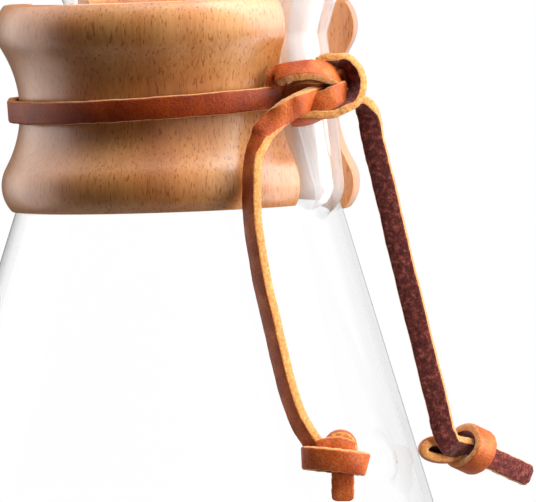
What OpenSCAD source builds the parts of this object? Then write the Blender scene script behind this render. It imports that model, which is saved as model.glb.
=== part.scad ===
// Pour-over coffee maker: a one-piece hourglass glass vessel with an air channel,
// a wooden collar in two halves, and a leather thong that ties them round the neck.
// Millimetres, +Z up, +X towards the pouring lip, origin at the middle of the base.

/* [Glass vessel] */
// Overall height of the vessel
vessel_h = 216; // [200:1:240]
// Thickness of the glass
wall = 2.8; // [2:0.1:3.6]
// Outer radius at the narrowest place of the neck
neck_r = 27.8; // [26:0.1:30]
// Height of the narrowest place of the neck
neck_z = 135.8; // [130:0.1:142]
// Radius of the bend between flask and funnel
neck_bend = 18; // [14:0.5:24]
// Half angle of the flask's cone
flask_angle = 17.2; // [15:0.1:19]
// Half angle of the funnel's cone
funnel_angle = 25; // [22:0.5:28]
// Radius of the rounded corner at the base
base_corner = 18; // [12:1:22]

/* [Air channel] */
// Outer radius of the channel
channel_r = 9.5; // [8.5:0.1:10]
// Outer radius of the channel at the pouring lip
lip_r = 12; // [10:0.5:14]
// How far the channel's axis lies outside the neck
channel_out = 4.4; // [3:0.1:5]
// How far the lip's axis lies inside the rim
lip_sink = 5; // [3:0.5:8]
// Length of the channel below the neck
channel_drop = 38.3; // [34:0.1:42]
// How far the channel's foot lies inside the flask's cone
foot_sink = 1.3; // [0.5:0.1:2.5]

/* [Button] */
// Height of the glass button above the base
button_z = 32; // [26:1:45]
// Radius of the glass button
button_r = 6.5; // [4:0.5:8]
// How far the button stands proud
button_rise = 2.5; // [1.5:0.1:3]

/* [Wooden collar] */
// Height of each half
collar_h = 51.6; // [48:0.2:54]
// How far the collar's middle lies below the narrowest place of the neck
collar_below = 18.8; // [17:0.1:21]
// Outer radius at the two bulges
collar_bulge_r = 44.8; // [44:0.1:46]
// Outer radius at the waist
collar_waist_r = 39.5; // [38.8:0.1:40.2]
// Height of each bulge from the collar's middle
bulge_z = 19.5; // [18:0.1:21]
// Radius of the rounded bulges
bulge_bend = 9.5; // [8:0.1:11]
// Gap between the bore and the flask
collar_play = 0.95; // [0.9:0.05:1.2]
// Height above the middle where the bore is narrowest
bore_waist_z = 2; // [0:0.5:6]
// Radius of the bore at the top
bore_top_r = 36.5; // [35:0.1:38]
// Half angle of the gap at the air channel and of the one behind it
gap_half = 18; // [17:0.5:21]
// Lean of the ends beside the air channel
gap_lean = 4; // [0:0.5:5]
// Lift of the front half
front_lift = 0.8; // [0.7:0.1:1.6]
// How far the tilted front half slides away from the air channel
front_slide = 0.6; // [0.5:0.1:0.9]
// Tilt of the front half, end at the air channel up
front_tilt = 2.6; // [1.5:0.1:2.8]
// Tilt of the back half, end at the air channel up
back_tilt = 1; // [0:0.1:1]

/* [Leather thong] */
// Width of the strip
strap_w = 5.6; // [5:0.1:6]
// Thickness of the strip
strap_t = 2.2; // [1.8:0.1:2.4]
// Height of the band above the collar's middle, on the axis
band_up = 1.9; // [1.4:0.1:2.6]
// Tilt of the band
band_tilt = 4.4; // [3.6:0.1:4.6]
// Direction in which the band rises
band_rise_az = 32; // [20:1:40]
// Gap between the band and the collar's waist
band_play = 1.3; // [1.2:0.1:1.6]
// Gap between the band and the air channel
channel_play = 0.3; // [0.2:0.1:0.6]
// Corner chamfer of the strip
strap_chamfer = 0.5; // [0.3:0.1:0.7]

/* [Stopper knots] */
// Half length of the front knot's wrap
front_wrap_a = 7.8; // [7.4:0.1:8.4]
// Half depth of the front knot's wrap
front_wrap_b = 5.7; // [5.4:0.1:6]
// Slope of the front knot's wrap, its near side up
front_wrap_slope = 0.15; // [0.1:0.05:0.3]
// Half height of the side knot's wrap
side_wrap_a = 6; // [5.6:0.1:6.6]
// Half depth of the side knot's wrap
side_wrap_b = 8.2; // [7.6:0.1:8.6]
// Radius of the front knot's bight, on its middle line
front_bight_r = 3; // [2.6:0.1:3.2]
// Length of the loose end of the front knot, from the knot's middle
front_stub = 9.2; // [7:0.1:11]
// Length of the loose end of the side knot, from the knot's middle
side_stub = 16.4; // [12:0.1:18]

/* [Hidden] */
$fn = 96;
eps = 0.01;
wood = "burlywood";
leather = "sienna";

// Points on an arc of radius r about c, from angle a to angle b
function arc(c, r, a, b, n) = [for (i = [0:n]) c + r * [cos(a + (b - a) * i / n), sin(a + (b - a) * i / n)]];
function unit(v) = v / norm(v);

// The flask's outer cone starts where the neck's bend ends
cone_top_r = neck_r + neck_bend * (1 - cos(flask_angle));
cone_top_z = neck_z - neck_bend * sin(flask_angle);
function flask_r(z) = cone_top_r + (cone_top_z - z) * tan(flask_angle);

// The funnel's outer cone, from the neck's bend to the rim
funnel_foot_r = neck_r + neck_bend * (1 - cos(funnel_angle));
funnel_foot_z = neck_z + neck_bend * sin(funnel_angle);
function funnel_r(z) = funnel_foot_r + (z - funnel_foot_z) * tan(funnel_angle);

neck_centre = [neck_r + neck_bend, neck_z];
corner_z = base_corner * (1 + sin(flask_angle));
corner_centre = [flask_r(corner_z) - base_corner * cos(flask_angle), base_corner];
lip_z = vessel_h - wall / 2;
rim_centre = [funnel_r(lip_z) - wall / 2 / cos(funnel_angle), lip_z];

// Half section of the vessel's outer or inner skin, shrunk by depth, from base to rim
function skin(depth) = concat(
    arc(corner_centre, base_corner - depth, -90, flask_angle, 10),
    arc(neck_centre, neck_bend + depth, 180 + flask_angle, 180 - funnel_angle, 14));
function rim(from, to) = arc(rim_centre, wall / 2, from, to, 8);

module body_of_glass() {
    rotate_extrude()
        polygon(concat([[0, 0]], skin(0), rim(-funnel_angle, 180 - funnel_angle), [[0, lip_z]]));
}

module room_inside() {
    rotate_extrude()
        polygon(concat([[0, wall]], skin(wall), [rim(180 - funnel_angle, 90)[0]],
                       [[rim_centre.x - wall / 2 / cos(funnel_angle) + wall, vessel_h + wall], [0, vessel_h + wall]]));
}

// Bar from p to q with round ends, tapering from radius r1 to radius r2
module bar(p, q, r1, r2) {
    run = q - p;
    translate(p)
        rotate([0, acos(run.z / norm(run)), atan2(run.y, run.x)])
            rotate_extrude()
                polygon(concat(arc([0, 0], r1, -90, 0, 8), arc([0, norm(run)], r2, 0, 90, 8)));
}

channel_neck = [neck_r + channel_out, 0, neck_z];
foot_z = neck_z - channel_drop;
channel_foot = [flask_r(foot_z) - foot_sink, 0, foot_z];
channel_lip = [funnel_r(vessel_h) - lip_sink, 0, vessel_h];
function channel_x(z) =
    channel_foot.x + (channel_neck.x - channel_foot.x) * (z - channel_foot.z) / channel_drop;

module channel(depth) {
    bar(channel_foot, channel_neck, channel_r - depth, channel_r - depth);
    bar(channel_neck, channel_lip, channel_r - depth, lip_r - depth);
}

// Outside of the channel, cut off level just below the rim
module channel_skin() {
    difference() {
        channel(0);
        translate([0, -lip_r * 2, lip_z])
            cube([rim_centre.x * 2, lip_r * 4, lip_r * 3]);
    }
}

module button() {
    ball_r = (button_r * button_r + button_rise * button_rise) / (2 * button_rise);
    sink = ball_r - button_rise;
    translate([flask_r(button_z) - sink * cos(flask_angle), 0, button_z - sink * sin(flask_angle)])
        sphere(ball_r);
}

module glass_vessel() {
    color("lightcyan", 0.4)
        difference() {
            union() {
                body_of_glass();
                channel_skin();
                button();
            }
            room_inside();
            channel(wall);
        }
}

collar_z = neck_z - collar_below;

// Collar section: two bulges joined by a hollow waist, and a bore that follows the flask
bulge_step = collar_bulge_r - collar_waist_r;
waist_bend = (bulge_z * bulge_z + bulge_step * bulge_step) / (2 * bulge_step) - bulge_bend;
bulge_turn = asin(bulge_z / (waist_bend + bulge_bend));
nose_turn = asin((collar_h / 2 - bulge_z) / bulge_bend);
bulge_x = collar_bulge_r - bulge_bend;
waist_x = collar_waist_r + waist_bend;
function bore_r(z) = flask_r(collar_z + z) + collar_play;

module collar_section() {
    polygon(concat(
        arc([bulge_x, -bulge_z], bulge_bend, -nose_turn, bulge_turn, 10),
        arc([waist_x, 0], waist_bend, 180 + bulge_turn, 180 - bulge_turn, 12),
        arc([bulge_x, bulge_z], bulge_bend, -bulge_turn, nose_turn, 10),
        [[bore_top_r, collar_h / 2], [bore_r(bore_waist_z), bore_waist_z], [bore_r(-collar_h / 2), -collar_h / 2]]));
}

// Half collar on the -Y side about its own middle, with leaning ends beside the air channel
module half_collar() {
    side = collar_bulge_r * 3;
    difference() {
        rotate_extrude()
            collar_section();
        rotate([0, 0, -gap_half])
            rotate([gap_lean, 0, 0])
                translate([-side / 2, 0, -side / 2])
                    cube(side);
        rotate([0, 0, gap_half])
            translate([-side / 2, 0, -side / 2])
                cube(side);
    }
}

module collar_front() {
    color(wood)
        translate([-front_slide, 0, collar_z + front_lift])
            rotate([0, -front_tilt, 0])
                half_collar();
}

module collar_back() {
    color(wood)
        translate([0, 0, collar_z])
            rotate([0, -back_tilt, 0])
                mirror([0, 1, 0])
                    half_collar();
}

// Outline of the band, stretched over the collar and the air channel, straight across the gap behind
band_z = collar_z + band_up;
band_rise = tan(band_tilt) * cos(band_rise_az);
band_low_z = band_z + band_rise * collar_waist_r - strap_w / 2;
ridge_x = channel_x(band_low_z);
function band_outline(out) =
    let (ring = collar_waist_r + band_play + out,
         bump = channel_r + channel_play + out,
         leave = acos((ring - bump) / ridge_x))
    concat(
        arc([ridge_x, 0], bump, -leave, leave, 14),
        arc([0, 0], ring, leave, 180 - gap_half, 24),
        arc([0, 0], ring, 180 + gap_half, 360 - leave, 24));

module tie_band() {
    color(leather)
        translate([0, 0, band_z])
            rotate([0, 0, band_rise_az])
                rotate([0, -band_tilt, 0])
                    rotate([0, 0, -band_rise_az])
                        linear_extrude(strap_w, center = true)
                            difference() {
                                polygon(band_outline(strap_t));
                                polygon(band_outline(0));
                            }
}

// Catmull-Rom curve through a list of points or directions
function spline(p, i, t) =
    let (n = len(p) - 1,
         a = p[max(i - 1, 0)],
         b = p[i],
         c = p[min(i + 1, n)],
         d = p[min(i + 2, n)])
    (2 * b + (c - a) * t + (2 * a - 5 * b + 4 * c - d) * t * t + (3 * b - a - 3 * c + d) * t * t * t) / 2;

// Corners of the strip's section: across the width and through the thickness
function strip_corners(w, t) =
    let (c = min(strap_chamfer, t / 2 - eps))
    [[w - c, t], [w, t - c], [w, c - t], [w - c, -t], [c - w, -t], [-w, c - t], [-w, t - c], [c - w, t]];

// One ring of the strip at place p, along run, with its grain side towards up
function strip_ring(p, run, up, w, t) =
    let (along = unit(run),
         face = unit(up - (up * along) * along),
         across = cross(along, face))
    [for (k = strip_corners(w, t)) p + k.x * across + k.y * face];

// Closed strip along a route of [place, grain direction] pairs, with rounded ends
module strip(route, steps = 3) {
    places = [for (r = route) r[0]];
    grains = [for (r = route) r[1]];
    spans = len(route) - 1;
    stations = concat([for (i = [0:spans - 1], j = [0:steps - 1]) [i, j / steps]], [[spans - 1, 1]]);
    last = len(stations) - 1;
    spots = [for (s = stations) spline(places, s[0], s[1])];
    ups = [for (s = stations) spline(grains, s[0], s[1])];
    runs = [for (k = [0:last]) spots[min(k + 1, last)] - spots[max(k - 1, 0)]];
    w = strap_w / 2;
    t = strap_t / 2;
    head = unit(runs[0]) * t;
    tail = unit(runs[last]) * t;
    rings = concat(
        [strip_ring(spots[0] - head * 0.9, runs[0], ups[0], w - t / 2, t * 0.4)],
        [strip_ring(spots[0] - head * 0.5, runs[0], ups[0], w - t / 8, t * 0.85)],
        [for (k = [0:last]) strip_ring(spots[k], runs[k], ups[k], w, t)],
        [strip_ring(spots[last] + tail * 0.5, runs[last], ups[last], w - t / 8, t * 0.85)],
        [strip_ring(spots[last] + tail * 0.9, runs[last], ups[last], w - t / 2, t * 0.4)]);
    m = len(rings);
    n = len(rings[0]);
    polyhedron(
        points = [for (r = rings, p = r) p],
        faces = concat(
            [[for (k = [0:n - 1]) k]],
            [for (i = [0:m - 2], k = [0:n - 1]) [i * n + k, (i + 1) * n + (k + 1) % n, i * n + (k + 1) % n]],
            [for (i = [0:m - 2], k = [0:n - 1]) [i * n + k, (i + 1) * n + k, (i + 1) * n + (k + 1) % n]],
            [[for (k = [n - 1:-1:0]) (m - 1) * n + k]]));
}

// Routes of the thong: places, with heights from the collar's middle, and the direction of the grain side
arch_route = [
    [[38.6, -17.8, 8.8], [0.6, -0.6, 0.4]],
    [[40.8, -17.6, 9.6], [0.4, -0.6, 0.7]],
    [[43, -17, 10.2], [0.2, -0.6, 0.8]],
    [[45.4, -15.8, 10.6], [0.3, -0.5, 0.8]],
    [[47.6, -14.2, 10.8], [0.4, -0.5, 0.8]],
    [[49.4, -12, 10.2], [0.6, -0.4, 0.7]],
    [[50.4, -9.8, 9.4], [0.8, -0.1, 0.6]],
    [[50.2, -6.8, 8], [0.8, 0.4, 0.4]]];
cross_route = [
    [[44.8, -14.2, 0.8], [0.4, -0.9, 0.1]],
    [[46.4, -14.2, 1.4], [0.5, -0.8, 0.1]],
    [[48.4, -13.4, 2], [0.6, -0.8, 0.1]],
    [[50.2, -12.2, 3], [0.6, -0.8, 0.1]],
    [[51.8, -10.6, 4], [0.8, -0.6, 0.1]],
    [[52.2, -8.2, 4.8], [1, -0.1, 0]],
    [[51.4, -6, 5], [0.9, 0.4, 0]],
    [[50, -4.2, 5], [0.6, 0.8, 0]]];
loop_route = [
    [[42, -15, -1.4], [0, 0.1, -1]],
    [[44.2, -14.2, -1.4], [0, 0.1, -1]],
    [[46.6, -13, -1], [0, 0.2, -1]],
    [[49, -11.6, -0.4], [0.1, 0.3, -0.9]],
    [[51, -9.8, 0.4], [0.2, 0.4, -0.9]],
    [[53, -8.2, 1.6], [0.3, 0.5, -0.8]],
    [[54.2, -6.8, 2.8], [0.4, 0.7, -0.5]],
    [[55, -5.6, 4.8], [0.6, 0.8, -0.2]],
    [[55, -4.8, 6.8], [0.6, 0.8, 0]],
    [[54.6, -4.8, 8.8], [0.5, 0.8, 0.3]],
    [[53.6, -5.2, 10.8], [0.3, 0.7, 0.6]],
    [[52, -6, 12.2], [0.1, 0.6, 0.8]],
    [[50.2, -6.8, 12.8], [-0.1, 0.3, 0.9]],
    [[48.2, -7.8, 12.8], [-0.3, 0.2, 0.9]],
    [[46, -8.8, 12.2], [-0.4, 0, 0.9]]];
exit_route = [
    [[47, -8.4, 3.8], [1, -0.1, 0.1]],
    [[46.8, -11.8, 3.8], [1, -0.2, 0.1]],
    [[47, -15.4, 3.4], [0.9, -0.3, 0.1]],
    [[46.6, -18, 2.6], [0.8, -0.6, 0.1]],
    [[45.2, -19.6, 1.6], [0.6, -0.8, 0.1]],
    [[43.6, -21.2, 0.2], [0.5, -0.8, 0.1]],
    [[41.8, -22.8, -1.8], [0.2, -1, 0.1]],
    [[40.4, -24.8, -4.2], [0, -1, 0]],
    [[40, -25.4, -5.6], [-0.2, -1, 0]]];
shoulder_route = [
    [[51.2, -2.8, 3], [0, 0.4, 0.9]],
    [[52.6, -2, 2.8], [0.1, 0.6, 0.8]],
    [[53.8, -1.2, 2.6], [0.2, 0.9, 0.4]],
    [[54.6, -0.6, 2], [0.1, 1, 0.2]]];
front_route = [
    [[39.4, -27.2, -8.4], [-0.3, -0.9, 0]],
    [[39, -28.4, -10.6], [-0.4, -0.9, 0]],
    [[38.8, -29.4, -14], [-0.5, -0.8, 0]],
    [[38.6, -29.6, -18], [-0.6, -0.8, 0]],
    [[38.6, -29.6, -22], [-0.6, -0.8, 0]],
    [[39, -29.4, -27.8], [-0.6, -0.8, 0]],
    [[40, -29, -34.6], [-0.6, -0.8, 0]],
    [[41.4, -28.8, -41.4], [-0.6, -0.8, 0]],
    [[43.2, -28.6, -48.2], [-0.6, -0.8, 0]],
    [[45.4, -28.8, -54.8], [-0.6, -0.8, 0]],
    [[47.4, -29, -60.6], [-0.6, -0.8, 0]],
    [[49.8, -29.2, -67.4], [-0.6, -0.8, 0]],
    [[52.8, -29, -74], [-0.6, -0.8, 0]],
    [[55.4, -28.4, -78], [-0.6, -0.8, 0]],
    [[56.6, -28, -79.8], [-0.6, -0.8, 0]]];
side_route = [
    [[55, 0.8, -1.6], [-0.3, 1, 0]],
    [[55.2, 1.8, -6.2], [-0.4, 0.9, 0]],
    [[55.6, 3.4, -11.2], [-0.4, 0.9, 0]],
    [[56.2, 5, -16.6], [-0.4, 0.9, 0]],
    [[57, 7.6, -25.2], [-0.4, 0.9, 0]],
    [[57.8, 10.2, -34.2], [-0.4, 0.9, 0]],
    [[59.2, 13.4, -45.8], [-0.4, 0.9, 0]],
    [[61.2, 17.2, -60.8], [-0.4, 0.9, 0]],
    [[63.2, 20.2, -74], [-0.4, 0.9, 0]],
    [[63.6, 21.2, -78.2], [-0.4, 0.9, 0]],
    [[64, 21.6, -80], [-0.4, 0.9, 0]]];

module tie_knot() {
    color(leather)
        translate([0, 0, collar_z]) {
            strip(arch_route);
            strip(cross_route);
            strip(loop_route);
            strip(exit_route);
            strip(shoulder_route);
        }
}

module front_tail() {
    color(leather)
        translate([0, 0, collar_z])
            strip(front_route, 2);
}

module side_tail() {
    color(leather)
        translate([0, 0, collar_z])
            strip(side_route, 2);
}

function ellipse(a, b, n) = [for (i = [0:n - 1]) [a * cos(i * 360 / n), b * sin(i * 360 / n)]];

// Route once round the front knot, its grain side out and its near side raised
function wrap_route() =
    let (x = front_wrap_a - strap_t / 2,
         y = front_wrap_b - strap_t / 2)
    [for (t = [100:20:440])
        [[x * cos(t), y * sin(t), -front_wrap_slope * y * sin(t)], [y * cos(t), x * sin(t), front_wrap_lean * x]]];

// Route of a bight that stands on two legs
function bight_route(foot, r, leg) = concat(
    [[foot + [-r, 0, 0], [-1, 0, 0]]],
    [for (t = [180:-30:0]) [foot + [r * cos(t), 0, leg + r * sin(t)], [cos(t), 0, sin(t)]]],
    [[foot + [r, 0, 0], [1, 0, 0]]]);

function stub_route(x, length, grain) =
    [for (i = [0:2]) [[x, 0, -length * i / 2], grain]];

// Strands inside the front knot, which fill its wrap
module front_heart() {
    rotate([-atan(front_wrap_slope), 0, 0])
        linear_extrude(strap_w / 2, center = true)
            polygon(ellipse(front_wrap_a - strap_t + heart_grip, front_wrap_b - strap_t + heart_grip, 32));
}

// Wrap of the side knot, filled in its middle by the strands inside it
module side_wrap() {
    difference() {
        linear_extrude(strap_w, center = true)
            polygon(ellipse(side_wrap_a, side_wrap_b, 40));
        for (end = [-1, 1])
            translate([0, 0, end * strap_w * 0.75])
                linear_extrude(strap_w, center = true)
                    polygon(ellipse(side_wrap_a - strap_t, side_wrap_b - strap_t, 40));
    }
}

// Overlap of the front knot's heart and wrap
heart_grip = 1.1;
// Stopper knots lie in frames turned by this much: X across the view, Y back, Z up
knot_turn = 32;
// Middles of the stopper knots, with heights from the collar's middle
front_knot_at = [61.8, -26.6, -83.6];
side_knot_at = [66, 31.2, -85.4];
// Lean of the side knot's wrap, whose loose end points down and back
side_wrap_turn = [0, -66, 29];
front_wrap_turn = [0, 6, 0];
front_wrap_drop = [0, 0, -1];
front_wrap_lean = -0.1;
front_bight_foot = [1.4, 1.6, 0.4];
front_bight_leg = 2.6;
front_stub_x = 2;
side_bight_route = [
    [[-2, 0, -1.6], [0, -0.2, -1]],
    [[-5.2, -1.4, -2.2], [0, -0.2, -1]],
    [[-8.2, -2.8, -2], [-0.2, -0.2, -1]],
    [[-10.6, -3.8, -1.2], [-0.6, -0.2, -0.8]],
    [[-11.8, -4.2, 0.2], [-1, -0.1, 0]],
    [[-11, -4, 1.6], [-0.6, 0, 0.8]],
    [[-9.2, -3.4, 2.2], [-0.2, 0, 1]],
    [[-7, -2.4, 2.2], [0, 0, 1]],
    [[-4, -1, 1.8], [0, 0, 1]],
    [[-1.6, 0, 1.6], [0, 0, 1]]];

module front_tail_knot() {
    color(leather)
        translate(front_knot_at + [0, 0, collar_z])
            rotate([0, 0, knot_turn]) {
                translate(front_wrap_drop)
                    rotate(front_wrap_turn) {
                        strip(wrap_route(), 2);
                        front_heart();
                    }
                strip(bight_route(front_bight_foot, front_bight_r, front_bight_leg), 2);
                strip(stub_route(front_stub_x, front_stub, [0, -1, 0]), 2);
            }
}

module side_tail_knot() {
    color(leather)
        translate(side_knot_at + [0, 0, collar_z])
            rotate([0, 0, knot_turn]) {
                rotate(side_wrap_turn) {
                    side_wrap();
                    strip(stub_route(0, side_stub, [0, 1, 0]), 2);
                }
                strip(side_bight_route, 2);
            }
}

glass_vessel();
collar_front();
collar_back();
tie_band();
tie_knot();
front_tail();
front_tail_knot();
side_tail();
side_tail_knot();
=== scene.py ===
"""Looks of a pour-over coffee maker: clear glass vessel, wooden collar in two halves, leather thong."""

import math

import bpy
import numpy as np
from mathutils import Matrix, Vector


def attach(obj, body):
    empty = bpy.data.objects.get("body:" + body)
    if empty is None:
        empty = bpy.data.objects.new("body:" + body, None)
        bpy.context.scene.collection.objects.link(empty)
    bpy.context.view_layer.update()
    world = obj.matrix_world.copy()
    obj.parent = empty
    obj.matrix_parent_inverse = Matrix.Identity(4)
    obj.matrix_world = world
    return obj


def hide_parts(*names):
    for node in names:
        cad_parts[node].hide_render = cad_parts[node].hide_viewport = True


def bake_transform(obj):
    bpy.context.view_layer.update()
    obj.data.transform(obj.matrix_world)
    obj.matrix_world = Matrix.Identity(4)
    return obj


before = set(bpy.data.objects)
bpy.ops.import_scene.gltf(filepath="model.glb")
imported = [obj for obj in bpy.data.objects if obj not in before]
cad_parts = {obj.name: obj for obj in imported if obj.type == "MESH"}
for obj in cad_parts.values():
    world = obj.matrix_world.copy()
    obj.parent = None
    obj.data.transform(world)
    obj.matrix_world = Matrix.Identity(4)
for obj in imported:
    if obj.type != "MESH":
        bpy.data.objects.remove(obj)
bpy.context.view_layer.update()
MM = 0.001

# Glass vessel, in millimetres
VESSEL_H = 216.0
WALL = 2.8
NECK_R, NECK_Z, NECK_BEND = 27.8, 135.8, 18.0
FLASK_ANGLE, FUNNEL_ANGLE = math.radians(17.2), math.radians(25.0)
BASE_CORNER = 14.0
CHANNEL_R, LIP_R = 9.5, 12.0
CHANNEL_OUT, LIP_SINK, FOOT_SINK, CHANNEL_DROP = 4.4, 5.0, 1.3, 37.0
CHANNEL_FILLET, CHANNEL_FALL, LIP_EASE = 2.2, 3.0, 0.25
BUTTON_Z, BUTTON_R, BUTTON_RISE, BUTTON_POWER = 32.0, 6.5, 2.5, 0.7
ROW, FINE_ROW, FUNNEL_ROW = 1.5, 0.5, 3.0
FINE_BELOW_FOOT, FINE_SPAN = 4.0, 8.0
FINE_HALF, FINE_TURN, TURN = 34.0, 0.8, 3.0

# Glass look. An edge lists (turn of the wall from the eye, grey there): painted shade that greys the glass
# towards its outline, in place of the dark surroundings real glass bends and mirrors there; a channel step
# holds its height above the round wall in millimetres, the index of its reflecting skin and the share of
# light it lets through, the rest being pale matt colour, a painted sheen over the channel.
GLASS_INDEX, POLISHED, SATIN = 1.015, 0.02, 0.2
NEUTRAL, COOL = (1.0, 1.0, 1.0), (0.97, 0.99, 1.0)
WALL_EDGE = (0.52, 1.0), (0.58, 0.93), (0.68, 0.90), (0.74, 0.80), (1.0, 0.80)
CHANNEL_EDGE = (0.42, 1.0), (0.62, 0.96), (1.0, 0.94)
RIM_EDGE = (0.0, 0.86), (0.6, 0.8), (1.0, 0.7)
NO_EDGE = (0.0, 1.0), (1.0, 1.0)
CHANNEL_STEPS = (0.3, 1.35, 0.96), (0.7, 1.6, 0.92), (1.2, 1.8, 0.88), (1.8, 2.0, 0.84)
WALL_SKIN, RIM_SKIN, NO_SKIN = 1.15, 1.3, 1.0

# Wooden collar, in millimetres
COLLAR_Z = NECK_Z - 18.8
COLLAR_H, BULGE_R, WAIST_R = 51.6, 44.8, 39.5
BULGE_Z, BULGE_BEND = 19.5, 9.5
COLLAR_PLAY, BORE_WAIST_Z, BORE_TOP_R = 0.95, 2.0, 36.5
GAP_HALF, GAP_LEAN = math.radians(18.0), math.radians(4.0)
FRONT_LIFT, FRONT_SLIDE, FRONT_TILT, BACK_TILT = 0.8, 0.6, math.radians(2.6), math.radians(1.0)
COLLAR_STEPS, COLLAR_ROUND, SHARP = 72, 1.0, math.radians(35)

# Leather thong, in millimetres
STRAP_W, STRAP_T, TAIL_T, END_CORNER = 5.6, 2.3, 2.6, 1.2
BAND_Z = COLLAR_Z + 1.9
BAND_TILT, BAND_RISE_AZ = math.radians(4.4), math.radians(32.0)
BAND_PLAY, CHANNEL_PLAY = 1.3, 0.3
CUT_MOST, CUT_SHARE, CUT_ROUND = 0.55, 0.24, 0.3
UNEVEN = (0.02, 0.9, 0.0), (0.015, 2.3, 1.0)
# Grain tones in sRGB: the leather's own orange-brown, lightened as painted light on the tie, tails and knots
# and darkened as painted shade on the band, so one leather has a lit and a shaded copy
LOOSE_LIT_TONES = (172, 70, 24), (206, 102, 46), (234, 140, 78)
BAND_SHADED_TONES = (126, 42, 7), (152, 58, 11), (174, 84, 24)

# Camera: the photograph's view, close to orthographic
VIEW_AZ, VIEW_EL = math.radians(32.0), math.radians(4.1)
VIEW_AIM = Vector((18.7, 11.7, 80.5)) * MM
VIEW_DISTANCE, VIEW_LENS, SENSOR = 2.0, 537.0, 36.0

# Stage, in metres: lamps as (name, size, watts, place seen from the camera, colour); the room's glossy light
# falls off towards DARK_SIDE by ROOM_LEVELS and below the horizon, and FILL of it lights matt surfaces
WHITE, WARM = (1.0, 1.0, 1.0), (1.0, 0.87, 0.78)
LAMPS = (("key", (1.0, 2.2), 44.0, (0.92, 0.32, 0.7), WHITE),
         ("left_side", (0.9, 2.2), 9.0, (-0.95, -0.34, 0.3), WARM),
         ("low_right", (0.5, 0.8), 6.0, (0.85, 0.25, -0.5), WHITE),
         ("top", (0.8, 0.8), 6.0, (0.0, 0.1, 1.0), WHITE))
LAMP_AIM = Vector((0, 0, 0.1))
DARK_SIDE = -0.695, 0.719, 0
ROOM_LEVELS = (0.06, 1.0), (0.14, 0.1), (0.33, 0.1), (0.45, 1.0), (0.75, 1.0), (0.965, 0.0)
HORIZON = (("From Min", -0.5), ("From Max", -0.1), ("To Min", 0.1), ("To Max", 1.0))
FILL = 0.05
FLOOR_R = 0.13


def srgb(r, g, b):
    """Linear colour of an 8-bit screen colour."""
    def channel(c):
        c /= 255
        return c / 12.92 if c <= 0.04045 else ((c + 0.055) / 1.055) ** 2.4
    return channel(r), channel(g), channel(b), 1.0


# Camera

def add_camera():
    data = bpy.data.cameras.new("photo_view")
    data.lens = VIEW_LENS
    data.sensor_width = SENSOR
    data.sensor_fit = "HORIZONTAL"
    data.clip_end = 20.0
    camera = bpy.data.objects.new("photo_view", data)
    bpy.context.scene.collection.objects.link(camera)
    level = math.cos(VIEW_EL)
    back = Vector((math.sin(VIEW_AZ) * level, -math.cos(VIEW_AZ) * level, math.sin(VIEW_EL)))
    camera.location = VIEW_AIM + back * VIEW_DISTANCE
    camera.rotation_euler = back.to_track_quat("Z", "Y").to_euler()
    bpy.context.scene.camera = camera


# Materials

class Nodes:
    """Shorthand for building one material's node tree."""

    def __init__(self, name):
        self.material = bpy.data.materials.new(name)
        self.material.use_nodes = True
        self.tree = self.material.node_tree
        self.shader = self.tree.nodes["Principled BSDF"]

    def add(self, kind, **settings):
        node = self.tree.nodes.new(kind)
        for key, value in settings.items():
            if key in node.inputs:
                node.inputs[key].default_value = value
            else:
                setattr(node, key, value)
        return node

    def link(self, source, target):
        self.tree.links.new(source, target)

    def set(self, **values):
        for key, value in values.items():
            self.shader.inputs[key.replace("_", " ")].default_value = value

    def noise(self, scale, detail, roughness=0.55, upright=1.0):
        """Noise in the object's own coordinates; a small upright value draws it out along Z."""
        mapping = self.add("ShaderNodeMapping")
        mapping.inputs["Scale"].default_value = 1, 1, upright
        self.link(self.add("ShaderNodeTexCoord").outputs["Object"], mapping.inputs["Vector"])
        node = self.add("ShaderNodeTexNoise", Scale=scale, Detail=detail, Roughness=roughness)
        self.link(mapping.outputs["Vector"], node.inputs["Vector"])
        return node.outputs["Fac"]

    def ramp(self, value, *stops):
        node = self.add("ShaderNodeValToRGB")
        elements = node.color_ramp.elements
        while len(elements) < len(stops):
            elements.new(0.5)
        for element, (position, colour) in zip(elements, stops):
            element.position = position
            element.color = colour
        self.link(value, node.inputs["Fac"])
        return node.outputs["Color"]

    def mix(self, factor, a, b, blend="MIX"):
        node = self.add("ShaderNodeMix", data_type="RGBA", blend_type=blend)
        for value, socket in ((factor, node.inputs[0]), (a, node.inputs[6]), (b, node.inputs[7])):
            if isinstance(value, bpy.types.NodeSocket):
                self.link(value, socket)
            else:
                socket.default_value = value
        return node.outputs[2]

    def bump(self, height, distance, strength):
        node = self.add("ShaderNodeBump", Strength=strength, Distance=distance)
        self.link(height, node.inputs["Height"])
        self.link(node.outputs["Normal"], self.shader.inputs["Normal"])


def grey(level):
    return level, level, level, 1


def glass_material(name, skin, clear, dull, tone, edge):
    """Thin clear glass that bends light little, with a reflecting skin, a grey edge painted as shade where
    the wall turns from the eye, and, where less than all light goes through, a pale matt share painted as
    sheen.
    """
    m = Nodes(name)
    # Painted shade: the glass colour greys towards the outline by the facing angle; where transmission is
    # under 1 the rest shows this pale colour as a painted sheen
    facing = m.add("ShaderNodeLayerWeight", Blend=0.5).outputs["Facing"]
    tone_and_edge_shade = m.ramp(facing, *[(place, (*[level * part for part in tone], 1)) for place, level in edge])
    m.link(tone_and_edge_shade, m.shader.inputs["Base Color"])
    m.set(Roughness=0.0, IOR=GLASS_INDEX, Transmission_Weight=clear, Coat_Weight=1.0,
          Coat_Roughness=dull, Coat_IOR=skin)
    ripple = m.noise(45.0, 1.0, upright=0.4)
    m.bump(ripple, 0.0006, 0.12)
    return m.material


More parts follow.
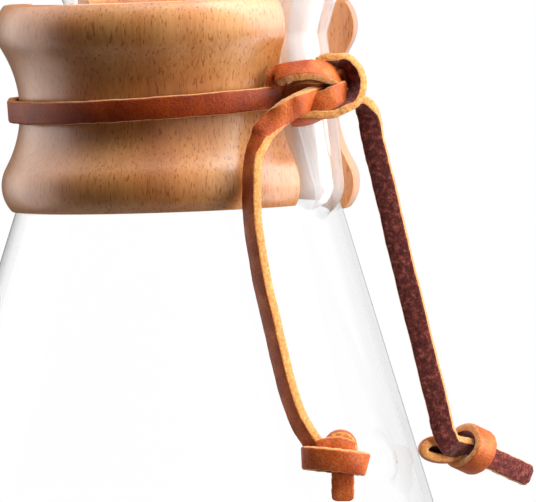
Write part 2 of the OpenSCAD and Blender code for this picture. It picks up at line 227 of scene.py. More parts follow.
def wood_material():
    """Lacquered hardwood: broad bands of tone, fine upright fibres and short dark pores."""
    m = Nodes("lacquered_wood")
    broad = m.noise(55.0, 3.0, upright=0.22)
    fine = m.noise(1400.0, 4.0, upright=0.05)
    pores = m.noise(1900.0, 1.0, upright=0.2)
    base = m.ramp(broad, (0.3, srgb(176, 105, 52)), (0.5, srgb(205, 134, 72)), (0.72, srgb(222, 160, 98)))
    streaks = m.ramp(fine, (0.35, (0.80, 0.74, 0.68, 1)), (0.6, grey(1)))
    flecks = m.ramp(pores, (0.60, grey(1)), (0.67, (0.60, 0.34, 0.15, 1)))
    colour = m.mix(0.75, m.mix(0.8, base, streaks, "MULTIPLY"), flecks, "MULTIPLY")
    m.link(colour, m.shader.inputs["Base Color"])
    m.link(m.ramp(fine, (0.3, grey(0.30)), (0.7, grey(0.42))), m.shader.inputs["Roughness"])
    m.set(Coat_Weight=1.0, Coat_Roughness=0.3, Coat_IOR=1.62, Specular_IOR_Level=0.15)
    m.bump(flecks, 0.00006, 0.4)
    return m.material


def leather_grain(name, dark, middle, light):
    """Grain side of the thong: blotches of three tones and a fine pebble. It is built twice, once with the
    leather's colour lightened as painted light for the loose parts and once darkened as painted shade for the
    band.
    """
    m = Nodes(name)
    blotch = m.noise(160.0, 3.0)
    pebble = m.noise(1900.0, 2.0)
    base = m.ramp(blotch, (0.3, srgb(*dark)), (0.55, srgb(*middle)), (0.8, srgb(*light)))
    dots = m.ramp(pebble, (0.38, (0.66, 0.60, 0.56, 1)), (0.58, grey(1)))
    m.link(m.mix(0.8, base, dots, "MULTIPLY"), m.shader.inputs["Base Color"])
    m.set(Roughness=0.46, Specular_IOR_Level=0.26)
    m.bump(pebble, 0.0002, 0.6)
    return m.material


def leather_edge():
    """Raw cut edge: pale fibres."""
    m = Nodes("leather_edge")
    fibre = m.noise(1500.0, 5.0, 0.7)
    base = m.ramp(fibre, (0.3, srgb(186, 106, 46)), (0.5, srgb(222, 150, 80)), (0.72, srgb(242, 190, 122)))
    m.link(base, m.shader.inputs["Base Color"])
    m.set(Roughness=0.85, Specular_IOR_Level=0.2, Sheen_Weight=0.3)
    m.bump(fibre, 0.0004, 0.8)
    return m.material


def leather_flesh():
    """Flesh side: dark and mottled, with loose fibres."""
    m = Nodes("leather_flesh")
    blotch = m.noise(800.0, 5.0, 0.75)
    fibre = m.noise(1900.0, 4.0, 0.7)
    base = m.ramp(blotch, (0.34, srgb(58, 19, 18)), (0.52, srgb(110, 44, 38)), (0.68, srgb(178, 98, 80)))
    m.link(base, m.shader.inputs["Base Color"])
    m.set(Roughness=0.9, Specular_IOR_Level=0.2, Sheen_Weight=0.2)
    m.bump(fibre, 0.0004, 0.8)
    return m.material


# Meshes

def add_mesh(name, points, faces, materials, indices=None):
    """Smooth-shaded mesh from points in millimetres."""
    mesh = bpy.data.meshes.new(name)
    mesh.from_pydata([Vector(p) * MM for p in points], [], faces)
    for material in materials:
        mesh.materials.append(material)
    if indices is not None:
        mesh.polygons.foreach_set("material_index", indices)
    mesh.polygons.foreach_set("use_smooth", [True] * len(mesh.polygons))
    mesh.validate()
    obj = bpy.data.objects.new(name, mesh)
    bpy.context.scene.collection.objects.link(obj)
    return obj


def arc(cx, cz, r, a, b, n):
    """Points of an arc from angle a to angle b, in n steps."""
    angles = [a + (b - a) * i / n for i in range(n + 1)]
    return [(cx + r * math.cos(t), cz + r * math.sin(t)) for t in angles]


def ring_faces(rings, n):
    """Quads between neighbouring rings of n points each."""
    return [(i * n + k, i * n + (k + 1) % n, (i + 1) * n + (k + 1) % n, (i + 1) * n + k)
            for i in range(rings - 1) for k in range(n)]


# Glass vessel

CONE_TOP_R = NECK_R + NECK_BEND * (1 - math.cos(FLASK_ANGLE))
CONE_TOP_Z = NECK_Z - NECK_BEND * math.sin(FLASK_ANGLE)
FUNNEL_FOOT_R = NECK_R + NECK_BEND * (1 - math.cos(FUNNEL_ANGLE))
FUNNEL_FOOT_Z = NECK_Z + NECK_BEND * math.sin(FUNNEL_ANGLE)


def flask_r(z):
    return CONE_TOP_R + (CONE_TOP_Z - z) * math.tan(FLASK_ANGLE)


def funnel_r(z):
    return FUNNEL_FOOT_R + (z - FUNNEL_FOOT_Z) * math.tan(FUNNEL_ANGLE)


CORNER_TOP = BASE_CORNER * (1 + math.sin(FLASK_ANGLE))
CORNER_X = flask_r(CORNER_TOP) - BASE_CORNER * math.cos(FLASK_ANGLE)
LIP_Z = VESSEL_H - WALL / 2
RIM_X = funnel_r(LIP_Z) - WALL / 2 / math.cos(FUNNEL_ANGLE)
FOOT_Z = NECK_Z - CHANNEL_DROP
FOOT_X = flask_r(FOOT_Z) - FOOT_SINK
CHANNEL_X = NECK_R + CHANNEL_OUT
LIP_X = funnel_r(VESSEL_H) - LIP_SINK


def channel_circle(z, depth):
    """Centre and radius of the air channel's section at height z, on its outer skin or depth inside it."""
    if z <= NECK_Z:
        t = max(0.0, (z - FOOT_Z) / CHANNEL_DROP)
        centre, radius = FOOT_X + (CHANNEL_X - FOOT_X) * t, CHANNEL_R - depth
        below = max(0.0, FOOT_Z - z)
        return centre, math.sqrt(max(0.0, radius * radius - below * below))
    t = (z - NECK_Z) / (VESSEL_H - NECK_Z)
    ease = t * t * (3 - 2 * t) * LIP_EASE + t * (1 - LIP_EASE)
    return CHANNEL_X + (LIP_X - CHANNEL_X) * ease, CHANNEL_R + (LIP_R - CHANNEL_R) * t - depth


def soft_max(a, b, k):
    """The larger of two values, rounded over where they differ by less than k."""
    h = max(0.0, k - abs(a - b)) / k
    return max(a, b) + h * h * k / 4


def channel_reach(r, z, angle, depth):
    """Radius at this angle, with the air channel joined to a body of radius r by a fillet."""
    centre, radius = channel_circle(z, depth)
    side = centre * math.sin(angle)
    if radius <= 0 or abs(angle) > math.pi / 2:
        return r
    inside = radius * radius - side * side
    if inside > 0:
        reach = centre * math.cos(angle) + math.sqrt(inside)
    else:
        reach = centre * math.cos(angle) - CHANNEL_FALL * math.sqrt(-inside)
    return soft_max(r, reach, CHANNEL_FILLET)


def button_rise(z, angle):
    """Height of the button's dome above the flask here."""
    across = math.hypot(flask_r(BUTTON_Z) * angle, (z - BUTTON_Z) / math.cos(FLASK_ANGLE)) / BUTTON_R
    return BUTTON_RISE * max(0.0, 1 - across * across) ** BUTTON_POWER


def glass_profile(depth):
    """Rows of (radius, height) from the base to the rim, on the outer skin or depth inside it."""
    rows = arc(CORNER_X, BASE_CORNER, BASE_CORNER - depth, -math.pi / 2, FLASK_ANGLE, 14)
    top = CONE_TOP_Z - depth * math.sin(FLASK_ANGLE)
    z = math.ceil(rows[-1][1]) + 1.0
    while z < top - 1:
        rows.append((flask_r(z) - depth / math.cos(FLASK_ANGLE), z))
        near_foot = abs(z - FOOT_Z + FINE_BELOW_FOOT) < FINE_SPAN
        z += FINE_ROW if near_foot or abs(z - BUTTON_Z) < BUTTON_R + 1 else ROW
    rows += arc(NECK_R + NECK_BEND, NECK_Z, NECK_BEND + depth,
                math.pi + FLASK_ANGLE, math.pi - FUNNEL_ANGLE, 12)
    for z in np.arange(math.ceil(rows[-1][1]) + 1, LIP_Z - 2, FUNNEL_ROW):
        rows.append((funnel_r(z) - depth / math.cos(FUNNEL_ANGLE), float(z)))
    return rows


def glass_angles():
    """Angles round the vessel, closer together over the air channel and the button."""
    near = np.radians(np.arange(-FINE_HALF, FINE_HALF + 0.01, FINE_TURN))
    far = np.radians(np.arange(FINE_HALF + 2, 359 - FINE_HALF, TURN))
    return [a if a <= math.pi else a - 2 * math.pi for a in np.concatenate([near, far])]


def channel_step(angle, z):
    """How many of CHANNEL_STEPS the air channel rises above the vessel's round wall here."""
    body = flask_r(z) if z < CONE_TOP_Z else max(NECK_R, funnel_r(z))
    rise = channel_reach(body, z, angle, 0) - body
    return sum(rise > step for step, _, _ in CHANNEL_STEPS)


def add_glass(wall, channel, rim, inner):
    """Vessel as rings of points: up its outer skin, over the rim and down its lining to a closed base."""
    angles = glass_angles()
    skin, lining = glass_profile(0), glass_profile(WALL)
    bead = arc(0, LIP_Z, WALL / 2, -FUNNEL_ANGLE, math.pi - FUNNEL_ANGLE, 8)
    radii = [[channel_reach(r, z, a, 0) + button_rise(z, a) for a in angles] for r, z in skin]
    radii += [[channel_reach(RIM_X, LIP_Z, a, WALL / 2) + x for a in angles] for x, _ in bead]
    radii += [[channel_reach(r, z, a, WALL) for a in angles] for r, z in lining[::-1]]
    heights = [z for _, z in skin + bead + lining[::-1]]
    points = [(r * math.cos(a), r * math.sin(a), z)
              for row, z in zip(radii, heights) for r, a in zip(row, angles)]
    n, last = len(angles), len(radii) - 1
    faces = ring_faces(len(radii), n)
    points += [(0, 0, 0), (0, 0, WALL)]
    base, floor = len(points) - 2, len(points) - 1
    faces += [(base, (k + 1) % n, k) for k in range(n)]
    faces += [(floor, last * n + k, last * n + (k + 1) % n) for k in range(n)]
    rim_kind, inner_kind = len(channel) + 1, len(channel) + 2
    rim_start, rim_end = len(skin), len(skin) + len(bead) - 1
    kinds = []
    for i in range(last):
        plain = inner_kind if i >= rim_end else 0
        for angle in angles:
            on_rim = rim_start <= i < rim_end
            kinds.append(rim_kind if on_rim else channel_step(angle, heights[i]) or plain)
    kinds += [inner_kind] * (2 * n)
    return add_mesh("vessel_glass", points, faces, [wall, *channel, rim, inner], kinds)


# Wooden collar

def collar_section():
    """Closed outline of the collar's section as (radius, height from its middle)."""
    step = BULGE_R - WAIST_R
    waist_bend = (BULGE_Z ** 2 + step ** 2) / (2 * step) - BULGE_BEND
    turn = math.asin(BULGE_Z / (waist_bend + BULGE_BEND))
    nose = math.asin((COLLAR_H / 2 - BULGE_Z) / BULGE_BEND)
    centre = BULGE_R - BULGE_BEND

    def bore(z):
        return flask_r(COLLAR_Z + z) + COLLAR_PLAY
    rows = arc(centre, -BULGE_Z, BULGE_BEND, -nose, turn, 14)
    rows += arc(WAIST_R + waist_bend, 0, waist_bend, math.pi + turn, math.pi - turn, 20)[1:-1]
    rows += arc(centre, BULGE_Z, BULGE_BEND, -turn, nose, 14)
    rows += [(BORE_TOP_R, COLLAR_H / 2), (bore(BORE_WAIST_Z), BORE_WAIST_Z),
             (bore(-COLLAR_H / 2), -COLLAR_H / 2)]
    return rows


def add_collar_half(name, side, lift, slide, tilt, material):
    """Half of the collar on the side of -Y or +Y, its leaning ends beside the air channel."""
    section = collar_section()
    points = []
    for i in range(COLLAR_STEPS + 1):
        t = i / COLLAR_STEPS
        for r, z in section:
            spout_end = GAP_HALF + math.asin(z * math.sin(GAP_LEAN) / r)
            angle = spout_end + (math.pi - GAP_HALF - spout_end) * t
            x, y = r * math.cos(angle), side * r * math.sin(angle)
            points.append((x * math.cos(tilt) - z * math.sin(tilt) - slide, y,
                           COLLAR_Z + lift + z * math.cos(tilt) + x * math.sin(tilt)))
    n = len(section)
    end = COLLAR_STEPS * n
    faces = ring_faces(COLLAR_STEPS + 1, n) + [tuple(range(n - 1, -1, -1)), tuple(range(end, end + n))]
    if side < 0:
        faces = [f[::-1] for f in faces]
    obj = add_mesh(name, points, faces, [material])
    bevel = obj.modifiers.new("soft_edges", "BEVEL")
    bevel.width = COLLAR_ROUND * MM
    bevel.segments = 3
    bevel.limit_method = "ANGLE"
    bevel.angle_limit = SHARP
    bevel.harden_normals = True
    return obj


# Leather thong

def strip_section(thick):
    """Corners of the strip's section and the material of the side after each: 0 grain, 1 edge, 2 flesh."""
    w, t, c = STRAP_W / 2, thick / 2, min(CUT_MOST, thick * CUT_SHARE)
    d = c * CUT_ROUND
    corners = [(-w + c, t), (0, t), (w - c, t), (w - d, t - d), (w, t - c), (w, c - t), (w - d, d - t),
               (w - c, -t), (0, -t), (c - w, -t), (d - w, d - t), (-w, c - t), (-w, t - c), (d - w, t - d)]
    sides = [0, 0, 0, 1, 1, 1, 2, 2, 2, 2, 1, 1, 1, 0]
    return corners, sides


def spline(points, steps):
    """Catmull-Rom curve through the points."""
    p = np.array(points, float)
    p = np.vstack([2 * p[0] - p[1], p, 2 * p[-1] - p[-2]])
    out = []
    for i in range(1, len(p) - 2):
        a, b, c, d = p[i - 1:i + 3]
        for j in range(steps):
            t = j / steps
            out.append((2 * b + (c - a) * t + (2 * a - 5 * b + 4 * c - d) * t ** 2
                        + (3 * b - a - 3 * c + d) * t ** 3) / 2)
    out.append(p[-2])
    return np.array(out)


def unit(v):
    """Vector of length 1 in the same direction."""
    return v / np.linalg.norm(v)


def add_strip(name, route, materials, steps=6, closed=False, rounded=False, thick=STRAP_T):
    """Leather strip along a route of (place, grain direction) pairs, a little uneven in width."""
    places = spline([r[0] for r in route], steps)
    grains = spline([r[1] for r in route], steps)
    if closed:
        places, grains = places[:-1], grains[:-1]
    last = len(places) - 1
    corners, sides = strip_section(thick)
    points = []
    for k, (place, grain) in enumerate(zip(places, grains)):
        ahead = places[(k + 1) % (last + 1)] if closed else places[min(k + 1, last)]
        behind = places[k - 1] if closed else places[max(k - 1, 0)]
        along = unit(ahead - behind)
        face = unit(grain - np.dot(grain, along) * along)
        across = np.cross(along, face)
        uneven = 1 + sum(size * math.sin(k * pace + shift) for size, pace, shift in UNEVEN)
        if rounded:
            near = max(0.0, 1 - np.linalg.norm(places[last] - place) / END_CORNER)
            uneven -= 2 * END_CORNER / STRAP_W * (1 - math.sqrt(1 - near * near))
        for x, y in corners:
            points.append(place + across * x * uneven + face * y)
    n = len(corners)
    spans = last + 1 if closed else last
    faces = [tuple(corner % len(points) for corner in face) for face in ring_faces(spans + 1, n)]
    indices = sides * spans
    if not closed:
        faces += [tuple(range(n - 1, -1, -1)), tuple(range(last * n, last * n + n))]
        indices += [1, 1]
    return add_mesh(name, points, [f[::-1] for f in faces], materials, indices), places


def raised(route):
    """Route with its heights counted from the base instead of the collar's middle."""
    return [((x, y, z + COLLAR_Z), grain) for (x, y, z), grain in route]


# Routes of the tie and the tails: places in millimetres with the direction of the grain side there
ARCH = raised([
    ((38, -16.8, 4.4), (0.85, -0.5, 0.1)),
    ((38.6, -16.8, 7), (0.75, -0.6, 0.2)),
    ((39.6, -17.2, 8.8), (0.6, -0.6, 0.4)),
    ((40.8, -17.6, 9.6), (0.4, -0.6, 0.7)),
    ((43, -17, 10.2), (0.2, -0.6, 0.8)),
    ((45.4, -15.8, 10.6), (0.3, -0.5, 0.8)),
    ((47.6, -14.2, 10.8), (0.4, -0.5, 0.8)),
    ((49.4, -12, 10.2), (0.6, -0.4, 0.7)),
    ((50.4, -9.8, 9.4), (0.8, -0.1, 0.6)),
    ((50.2, -6.8, 8), (0.8, 0.4, 0.4))])
CROSS = raised([
    ((44.8, -14.2, 0.8), (0.4, -0.9, 0.1)),
    ((46.4, -14.2, 1.4), (0.5, -0.8, 0.1)),
    ((48.4, -13.4, 2), (0.6, -0.8, 0.1)),
    ((50.2, -12.2, 3), (0.6, -0.8, 0.1)),
    ((51.8, -10.6, 4), (0.8, -0.6, 0.1)),
    ((52.2, -8.2, 4.8), (1, -0.1, 0)),
    ((51.4, -6, 5), (0.9, 0.4, 0)),
    ((50, -4.2, 5), (0.6, 0.8, 0))])
LOOP = raised([
    ((42, -15, -1.4), (0.2, -0.5, -0.9)),
    ((44.2, -14.2, -1.4), (0.2, -0.4, -0.9)),
    ((46.6, -13, -1), (0.1, -0.3, -0.9)),
    ((49, -11.6, -0.4), (0.1, 0, -1)),
    ((51, -9.8, 0.4), (0.2, 0.4, -0.9)),
    ((53, -8.2, 1.6), (0.3, 0.5, -0.8)),
    ((54.2, -6.8, 2.8), (0.3, 0.8, -0.5)),
    ((55, -5.6, 4.8), (0.4, 0.9, -0.2)),
    ((55, -4.8, 6.8), (0.4, 0.9, 0)),
    ((54.6, -4.8, 8.8), (0.3, 0.9, 0.3)),
    ((53.6, -5.2, 10.8), (0.1, 0.8, 0.6)),
    ((52, -6, 12.2), (-0.1, 0.7, 0.7)),
    ((50.2, -6.8, 12.8), (-0.1, 0.3, 0.9)),
    ((48.2, -7.8, 12.8), (-0.3, 0.2, 0.9)),
    ((46, -8.8, 12.2), (-0.4, 0, 0.9))])
EXIT = raised([
    ((47, -8.4, 3.8), (1, -0.1, -0.3)),
    ((46.8, -11.8, 3.8), (1, -0.2, -0.3)),
    ((47, -15.4, 3.4), (0.9, -0.3, -0.3)),
    ((46.6, -18, 2.6), (0.8, -0.6, -0.3)),
    ((45.2, -19.6, 1.6), (0.6, -0.8, -0.3)),
    ((43.6, -21.2, 0.2), (0.5, -0.8, -0.3)),
    ((41.8, -22.8, -1.8), (0.2, -1, 0.1)),
    ((40.4, -24.8, -4.2), (0, -1, 0)),
    ((40, -25.4, -5.6), (-0.2, -1, 0))])
SHOULDER = raised([
    ((51.2, -2.8, 2.4), (0, 0.2, 1)),
    ((52.6, -2, 2.4), (0.1, 0.4, 0.9)),
    ((53.8, -1.2, 2), (0.3, 0.7, 0.7)),
    ((54.6, -0.6, 1.2), (0.2, 0.9, 0.4))])
CORE = raised([
    ((40.6, -13.6, 3.4), (0.4, -0.7, -0.6)),
    ((44, -12.8, 6.4), (0.3, -0.5, -0.8)),
    ((47, -10, 6.6), (0.4, -0.4, -0.8)),
    ((49, -6, 8.2), (0.7, -0.3, -0.6)),
    ((51.6, -3.6, 8.8), (1, 0, 0))])
FRONT = raised([
    ((39.6, -27.1, -8.4), (-0.3, -0.9, 0)),
    ((39.4, -28.1, -10.6), (-0.45, -0.9, 0)),
    ((39.5, -29, -14), (-0.45, -0.9, 0)),
    ((39.5, -29.1, -18), (-0.45, -0.9, 0)),
    ((39.5, -29.1, -22), (-0.45, -0.9, 0)),
    ((39.9, -28.9, -27.8), (-0.45, -0.9, 0)),
    ((40.9, -28.5, -34.6), (-0.45, -0.9, 0)),
    ((42.2, -28.3, -41.4), (-0.45, -0.9, 0)),
    ((44, -28.1, -48.2), (-0.45, -0.9, 0)),
    ((46, -28.4, -54.8), (-0.45, -0.9, 0)),
    ((47.8, -28.7, -60.6), (-0.45, -0.9, 0)),
    ((50.1, -29, -67.4), (-0.45, -0.9, 0)),
    ((52.9, -28.9, -74), (-0.45, -0.9, 0)),
    ((55.4, -28.4, -78), (-0.45, -0.9, 0)),
    ((56.6, -28, -79.8), (-0.45, -0.9, 0)),
    ((58.7, -27.6, -82.4), (-0.45, -0.9, 0)),
    ((60.1, -27.3, -84.6), (-0.45, -0.9, 0))])
SIDE = raised([
    ((55, 0.8, -1.6), (-0.3, 1, 0)),
    ((55.2, 1.8, -6.2), (-0.4, 0.9, 0)),
    ((55.6, 3.4, -11.2), (-0.4, 0.9, 0)),
    ((56.2, 5, -16.6), (-0.4, 0.9, 0)),
    ((57, 7.6, -25.2), (-0.4, 0.9, 0)),
    ((57.8, 10.2, -34.2), (-0.4, 0.9, 0)),
    ((59.2, 13.4, -45.8), (-0.4, 0.9, 0)),
    ((61.2, 17.2, -60.8), (-0.4, 0.9, 0)),
    ((63.2, 20.2, -74), (-0.4, 0.9, 0)),
    ((63.6, 21.2, -78.2), (-0.4, 0.9, 0)),
    ((64, 21.8, -80.6), (-0.4, 0.9, 0))])

# Stopper knots: middles, wraps (half axes, slope, lean), loose ends, and routes in the photograph's view
KNOT_VIEW = Matrix.Rotation(math.radians(32.0), 3, "Z")
FRONT_KNOT = (61.8, -26.6, COLLAR_Z - 83.6)
FRONT_WRAP, FRONT_WRAP_SINK, FRONT_WRAP_ROLL = (8.2, 5.7, 0.15, -0.1), 0.2, math.radians(6)
FRONT_BIGHT_FOOT, FRONT_BIGHT_R, FRONT_BIGHT_LEG = (1.4, 1.6, 0.4), 3.0, 2.6
FRONT_END_X, FRONT_END = 2, 10
SIDE_KNOT = (66.0, 31.2, COLLAR_Z - 85.4)
SIDE_WRAP, SIDE_TURN, SIDE_LEAN = (6, 8.2, 0, 0), math.radians(29), math.radians(-66)
SIDE_END_X, SIDE_END = 0, 18.8
FRONT_TURN = [
    ((-4, -2.2, 2.2), (0, -1, 0.2)),
    ((-1.4, -2.4, 3), (0, -1, 0.2)),
    ((1.6, -2.4, 3), (0, -1, 0.2)),
    ((4.2, -2.2, 2), (0, -1, 0.2))]
SIDE_FOLD = [
    ((-10, -3.2, 0.2), (0.3, 1, 0)),
    ((-6, -1.4, 0), (0.4, 0.9, 0)),
    ((-2, 0.4, 0), (0.4, 0.9, 0))]
SIDE_BIGHT = [
    ((-2, 0, -1.6), (0, -0.2, -1)),
    ((-5.2, -1.4, -2.2), (0, -0.2, -1)),
    ((-8.2, -2.8, -2), (-0.2, -0.2, -1)),
    ((-10.6, -3.8, -1.2), (-0.6, -0.2, -0.8)),
    ((-11.8, -4.2, 0.2), (-1, -0.1, 0)),
    ((-11, -4, 1.6), (-0.6, 0, 0.8)),
    ((-9.2, -3.4, 2.2), (-0.2, 0, 1)),
    ((-7, -2.4, 2.2), (0, 0, 1)),
    ((-4, -1, 1.8), (0, 0, 1)),
    ((-1.6, 0, 1.6), (0, 0, 1))]
SIDE_ENTRY = [
    ((-5.2, -6.2, 1.8), (0, 0.9, 0.3)),
    ((-4, -5, 1.2), (-0.2, 0.8, 0.6)),
    ((-1.8, -3, 0.6), (-0.3, 0.7, 0.7)),
    ((0, -1, 0), (-0.3, 0.7, 0.7))]


def band_route():
    """Closed middle line of the band: over the air channel, round the collar and across the gap behind."""
    ring = WAIST_R + BAND_PLAY + STRAP_T / 2
    bump = CHANNEL_R + CHANNEL_PLAY + STRAP_T / 2
    low = BAND_Z + math.tan(BAND_TILT) * math.cos(BAND_RISE_AZ) * WAIST_R - STRAP_W / 2
    ridge = channel_circle(low, 0)[0]
    leave = math.acos((ring - bump) / ridge)
    flat = [(ridge + bump * math.cos(a), bump * math.sin(a), a) for a in np.linspace(-leave, leave, 15)]
    right = np.linspace(leave, math.pi - GAP_HALF, 25)[1:]
    left = np.linspace(math.pi + GAP_HALF, 2 * math.pi - leave, 25)
    flat += [(ring * math.cos(a), ring * math.sin(a), a) for a in (*right, *left)]
    turn = (Matrix.Rotation(BAND_RISE_AZ, 3, "Z") @ Matrix.Rotation(-BAND_TILT, 3, "Y")
            @ Matrix.Rotation(-BAND_RISE_AZ, 3, "Z"))
    up = Vector((0, 0, BAND_Z))
    return [(tuple(turn @ Vector((x, y, 0)) + up), tuple(turn @ Vector((math.cos(a), math.sin(a), 0))))
            for x, y, a in flat + flat[:1]]


def turned(route, turn, at):
    """Route of a stopper knot, turned and put in its place."""
    return [(tuple(turn @ Vector(p) + Vector(at)), tuple(turn @ Vector(g))) for p, g in route]


def wrap_route(a, b, slope, lean):
    """Closed loop round a stopper knot, its grain side out, its near side raised."""
    loop = [math.pi / 2 + 2 * math.pi * i / 20 for i in range(21)]
    a, b = a - STRAP_T / 2, b - STRAP_T / 2
    return [((a * math.cos(t), b * math.sin(t), -slope * b * math.sin(t)),
             (math.cos(t) * b, math.sin(t) * a, lean * a)) for t in loop]


def bight_route(foot, radius, leg):
    """Bend of the strip that stands out of a stopper knot's wrap."""
    x, y, z = foot
    route = [((x - radius, y, z), (-1, 0, 0)), ((x - radius, y, z + leg / 2), (-1, 0, 0))]
    for t in np.linspace(0, math.pi, 9):
        out, up = -math.cos(t), math.sin(t)
        route.append(((x + radius * out, y, z + leg + radius * up), (out, 0, up)))
    return route + [((x + radius, y, z + leg / 2), (1, 0, 0)), ((x + radius, y, z), (1, 0, 0))]


def stub_route(x, length, grain):
    """Loose end below a stopper knot."""
    return [((x, 0, -length * i / 6), grain) for i in range(7)]


def add_stopper(name, node, body, routes, materials):
    """Stopper knot made of strips: (name, route, closed, rounded) each."""
    pieces = []
    for part, route, closed, rounded in routes:
        piece, _ = add_strip(name + "_" + part, route, materials, 5, closed, rounded)
        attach(piece, body)
        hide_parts(node)
        pieces.append(piece)
    return pieces


def front_stopper(materials):
    """Stopper knot of the front tail, its loose end hanging."""
    roll = KNOT_VIEW @ Matrix.Rotation(FRONT_WRAP_ROLL, 3, "Y")
    low = Vector(FRONT_KNOT) - Vector((0, 0, FRONT_WRAP_SINK))
    bight = bight_route(FRONT_BIGHT_FOOT, FRONT_BIGHT_R, FRONT_BIGHT_LEG)
    end = stub_route(FRONT_END_X, FRONT_END, (0, -1, 0))
    return add_stopper("front_knot", "front_tail_knot", "front_thong_end", [
        ("wrap", turned(wrap_route(*FRONT_WRAP), roll, low), True, False),
        ("bight", turned(bight, KNOT_VIEW, FRONT_KNOT), False, False),
        ("turn", turned(FRONT_TURN, KNOT_VIEW, FRONT_KNOT), False, False),
        ("end", turned(end, KNOT_VIEW, FRONT_KNOT), False, True)], materials)


def side_stopper(materials):
    """Stopper knot of the side tail, its loose end leaning out."""
    lean = KNOT_VIEW @ Matrix.Rotation(SIDE_TURN, 3, "Z") @ Matrix.Rotation(SIDE_LEAN, 3, "Y")
    end = stub_route(SIDE_END_X, SIDE_END, (0, 1, 0))
    return add_stopper("side_knot", "side_tail_knot", "side_thong_end", [
        ("wrap", turned(wrap_route(*SIDE_WRAP), lean, SIDE_KNOT), True, False),
        ("bight", turned(SIDE_BIGHT, KNOT_VIEW, SIDE_KNOT), False, False),
        ("fold", turned(SIDE_FOLD, KNOT_VIEW, SIDE_KNOT), False, False),
        ("end", turned(end, lean, SIDE_KNOT), False, True)], materials)


def add_tail(name, node, route, materials, knot_pieces):
    """Hanging tail of the thong, its route curving down where it leaves the knot."""
    piece, places = add_strip(name, route, materials, 5, thick=TAIL_T)
    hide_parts(node)
    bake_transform(piece)


def add_thong(materials, shaded_band_materials):
    """The whole thong: band, tie, two tails and their stopper knots."""
    # The band wears the grain copy darkened as painted shade; the tie, tails and knots wear the copy
    # lightened as painted light
    band, _ = add_strip("thong_band", band_route(), shaded_band_materials, 2, True)
    pieces = [(band, "tie_band")]
    for name, route in (("arch", ARCH), ("cross", CROSS), ("loop", LOOP), ("core", CORE)):
        pieces.append((add_strip("thong_" + name, route, materials)[0], "tie_knot"))
    for piece, node in pieces:
        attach(piece, "carafe")
        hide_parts(node)
    add_tail("thong_front_tail", "front_tail", EXIT + FRONT,
             materials, front_stopper(materials))
    entry = turned(SIDE_ENTRY, KNOT_VIEW, SIDE_KNOT)
    add_tail("thong_side_tail", "side_tail", SHOULDER + SIDE + entry,
             materials, side_stopper(materials))


# Light and floor

def add_light(name, size, power, place, colour):
    """Soft rectangular lamp, aimed at the object and not seen through glass."""
    data = bpy.data.lights.new(name, "AREA")
    data.shape = "RECTANGLE"
    data.size, data.size_y = size
    data.energy = power
    data.color = colour
    light = bpy.data.objects.new(name, data)
    bpy.context.scene.collection.objects.link(light)
    light.visible_transmission = False
    light.location = place
    light.rotation_euler = (place - LAMP_AIM).to_track_quat("Z", "Y").to_euler()


def view_place(right, toward, up):
    """Place given as seen from the camera: to the right, towards it and up, in metres."""
    return Vector((right * math.cos(VIEW_AZ) + toward * math.sin(VIEW_AZ),
                   right * math.sin(VIEW_AZ) - toward * math.cos(VIEW_AZ), up))


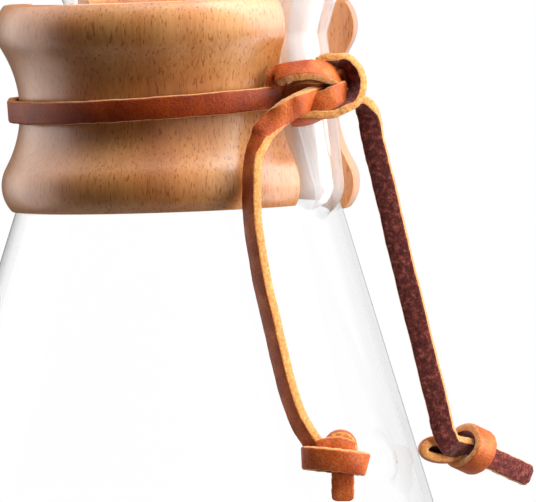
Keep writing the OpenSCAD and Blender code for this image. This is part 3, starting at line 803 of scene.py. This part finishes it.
def add_world():
    """White backdrop to the eye and through glass; to glossy surfaces a room with dark and bright sides."""
    world = bpy.data.worlds.new("studio")
    bpy.context.scene.world = world
    world.use_nodes = True
    tree = world.node_tree

    def math_node(operation, *values):
        node = tree.nodes.new("ShaderNodeMath")
        node.operation = operation
        for socket, value in zip(node.inputs, values):
            if isinstance(value, bpy.types.NodeSocket):
                tree.links.new(value, socket)
            else:
                socket.default_value = value
        return node.outputs[0]

    path = tree.nodes.new("ShaderNodeLightPath").outputs
    toward = tree.nodes.new("ShaderNodeVectorMath")
    toward.operation = "DOT_PRODUCT"
    sky = tree.nodes.new("ShaderNodeTexCoord").outputs["Generated"]
    tree.links.new(sky, toward.inputs[0])
    toward.inputs[1].default_value = view_place(*DARK_SIDE)
    room = tree.nodes.new("ShaderNodeValToRGB")
    stops = room.color_ramp.elements
    while len(stops) < len(ROOM_LEVELS):
        stops.new(0.5)
    for stop, (position, level) in zip(stops, ROOM_LEVELS):
        stop.position, stop.color = position, grey(level)
    tree.links.new(math_node("MULTIPLY_ADD", toward.outputs["Value"], 0.5, 0.5), room.inputs["Fac"])
    gloss = math_node("MULTIPLY_ADD", path["Is Glossy Ray"], 1 - FILL, FILL)
    height = tree.nodes.new("ShaderNodeSeparateXYZ")
    tree.links.new(sky, height.inputs[0])
    below = tree.nodes.new("ShaderNodeMapRange")
    for name, value in HORIZON:
        below.inputs[name].default_value = value
    tree.links.new(height.outputs["Z"], below.inputs["Value"])
    level = math_node("MULTIPLY", room.outputs["Color"], below.outputs["Result"])
    level = math_node("MULTIPLY", level, gloss)
    seen = math_node("MAXIMUM", path["Is Camera Ray"], path["Is Transmission Ray"])
    background = tree.nodes["Background"]
    tree.links.new(math_node("MAXIMUM", level, seen), background.inputs["Strength"])
    background.inputs["Color"].default_value = (1, 1, 1, 1)


def add_stage():
    """Lamps, room and a small pale floor."""
    for name, size, power, place, colour in LAMPS:
        add_light(name, size, power, view_place(*place), colour)
    add_world()
    bpy.context.scene.view_settings.view_transform = "Standard"
    bpy.ops.mesh.primitive_circle_add(vertices=96, radius=FLOOR_R, fill_type="NGON")
    floor = bpy.context.object
    floor.name = "floor"
    m = Nodes("pale_floor")
    tone = m.ramp(m.noise(30.0, 3.0), (0.3, (0.24, 0.24, 0.235, 1)), (0.7, (0.28, 0.28, 0.275, 1)))
    m.link(tone, m.shader.inputs["Base Color"])
    m.set(Roughness=0.7)
    floor.data.materials.append(m.material)


add_camera()
raw_sides = [leather_edge(), leather_flesh()]
# One grain leather in two copies: lightened as painted light for the tie, tails and knots, darkened as
# painted shade for the band
lit_loose_grain = leather_grain("leather_grain", *LOOSE_LIT_TONES)
shaded_band_grain = leather_grain("leather_grain_band_shaded", *BAND_SHADED_TONES)
add_thong([lit_loose_grain] + raw_sides, [shaded_band_grain] + raw_sides)
vessel = add_glass(
    glass_material("clear_glass", WALL_SKIN, 1.0, POLISHED, NEUTRAL, WALL_EDGE),
    [glass_material(f"channel_glass_{k}", skin, clear, SATIN, COOL, CHANNEL_EDGE)
     for k, (_, skin, clear) in enumerate(CHANNEL_STEPS)],
    glass_material("rim_glass", RIM_SKIN, 1.0, POLISHED, NEUTRAL, RIM_EDGE),
    glass_material("inner_glass", NO_SKIN, 1.0, POLISHED, NEUTRAL, NO_EDGE))
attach(vessel, "carafe")
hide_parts("glass_vessel")
vessel.visible_shadow = False
wood = wood_material()
for half, node, side, lift, slide, tilt in (
        ("front_half", "collar_front", -1, FRONT_LIFT, FRONT_SLIDE, FRONT_TILT),
        ("back_half", "collar_back", 1, 0.0, 0.0, BACK_TILT)):
    piece = add_collar_half(half, side, lift, slide, tilt, wood)
    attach(piece, "carafe")
    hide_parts(node)
add_stage()
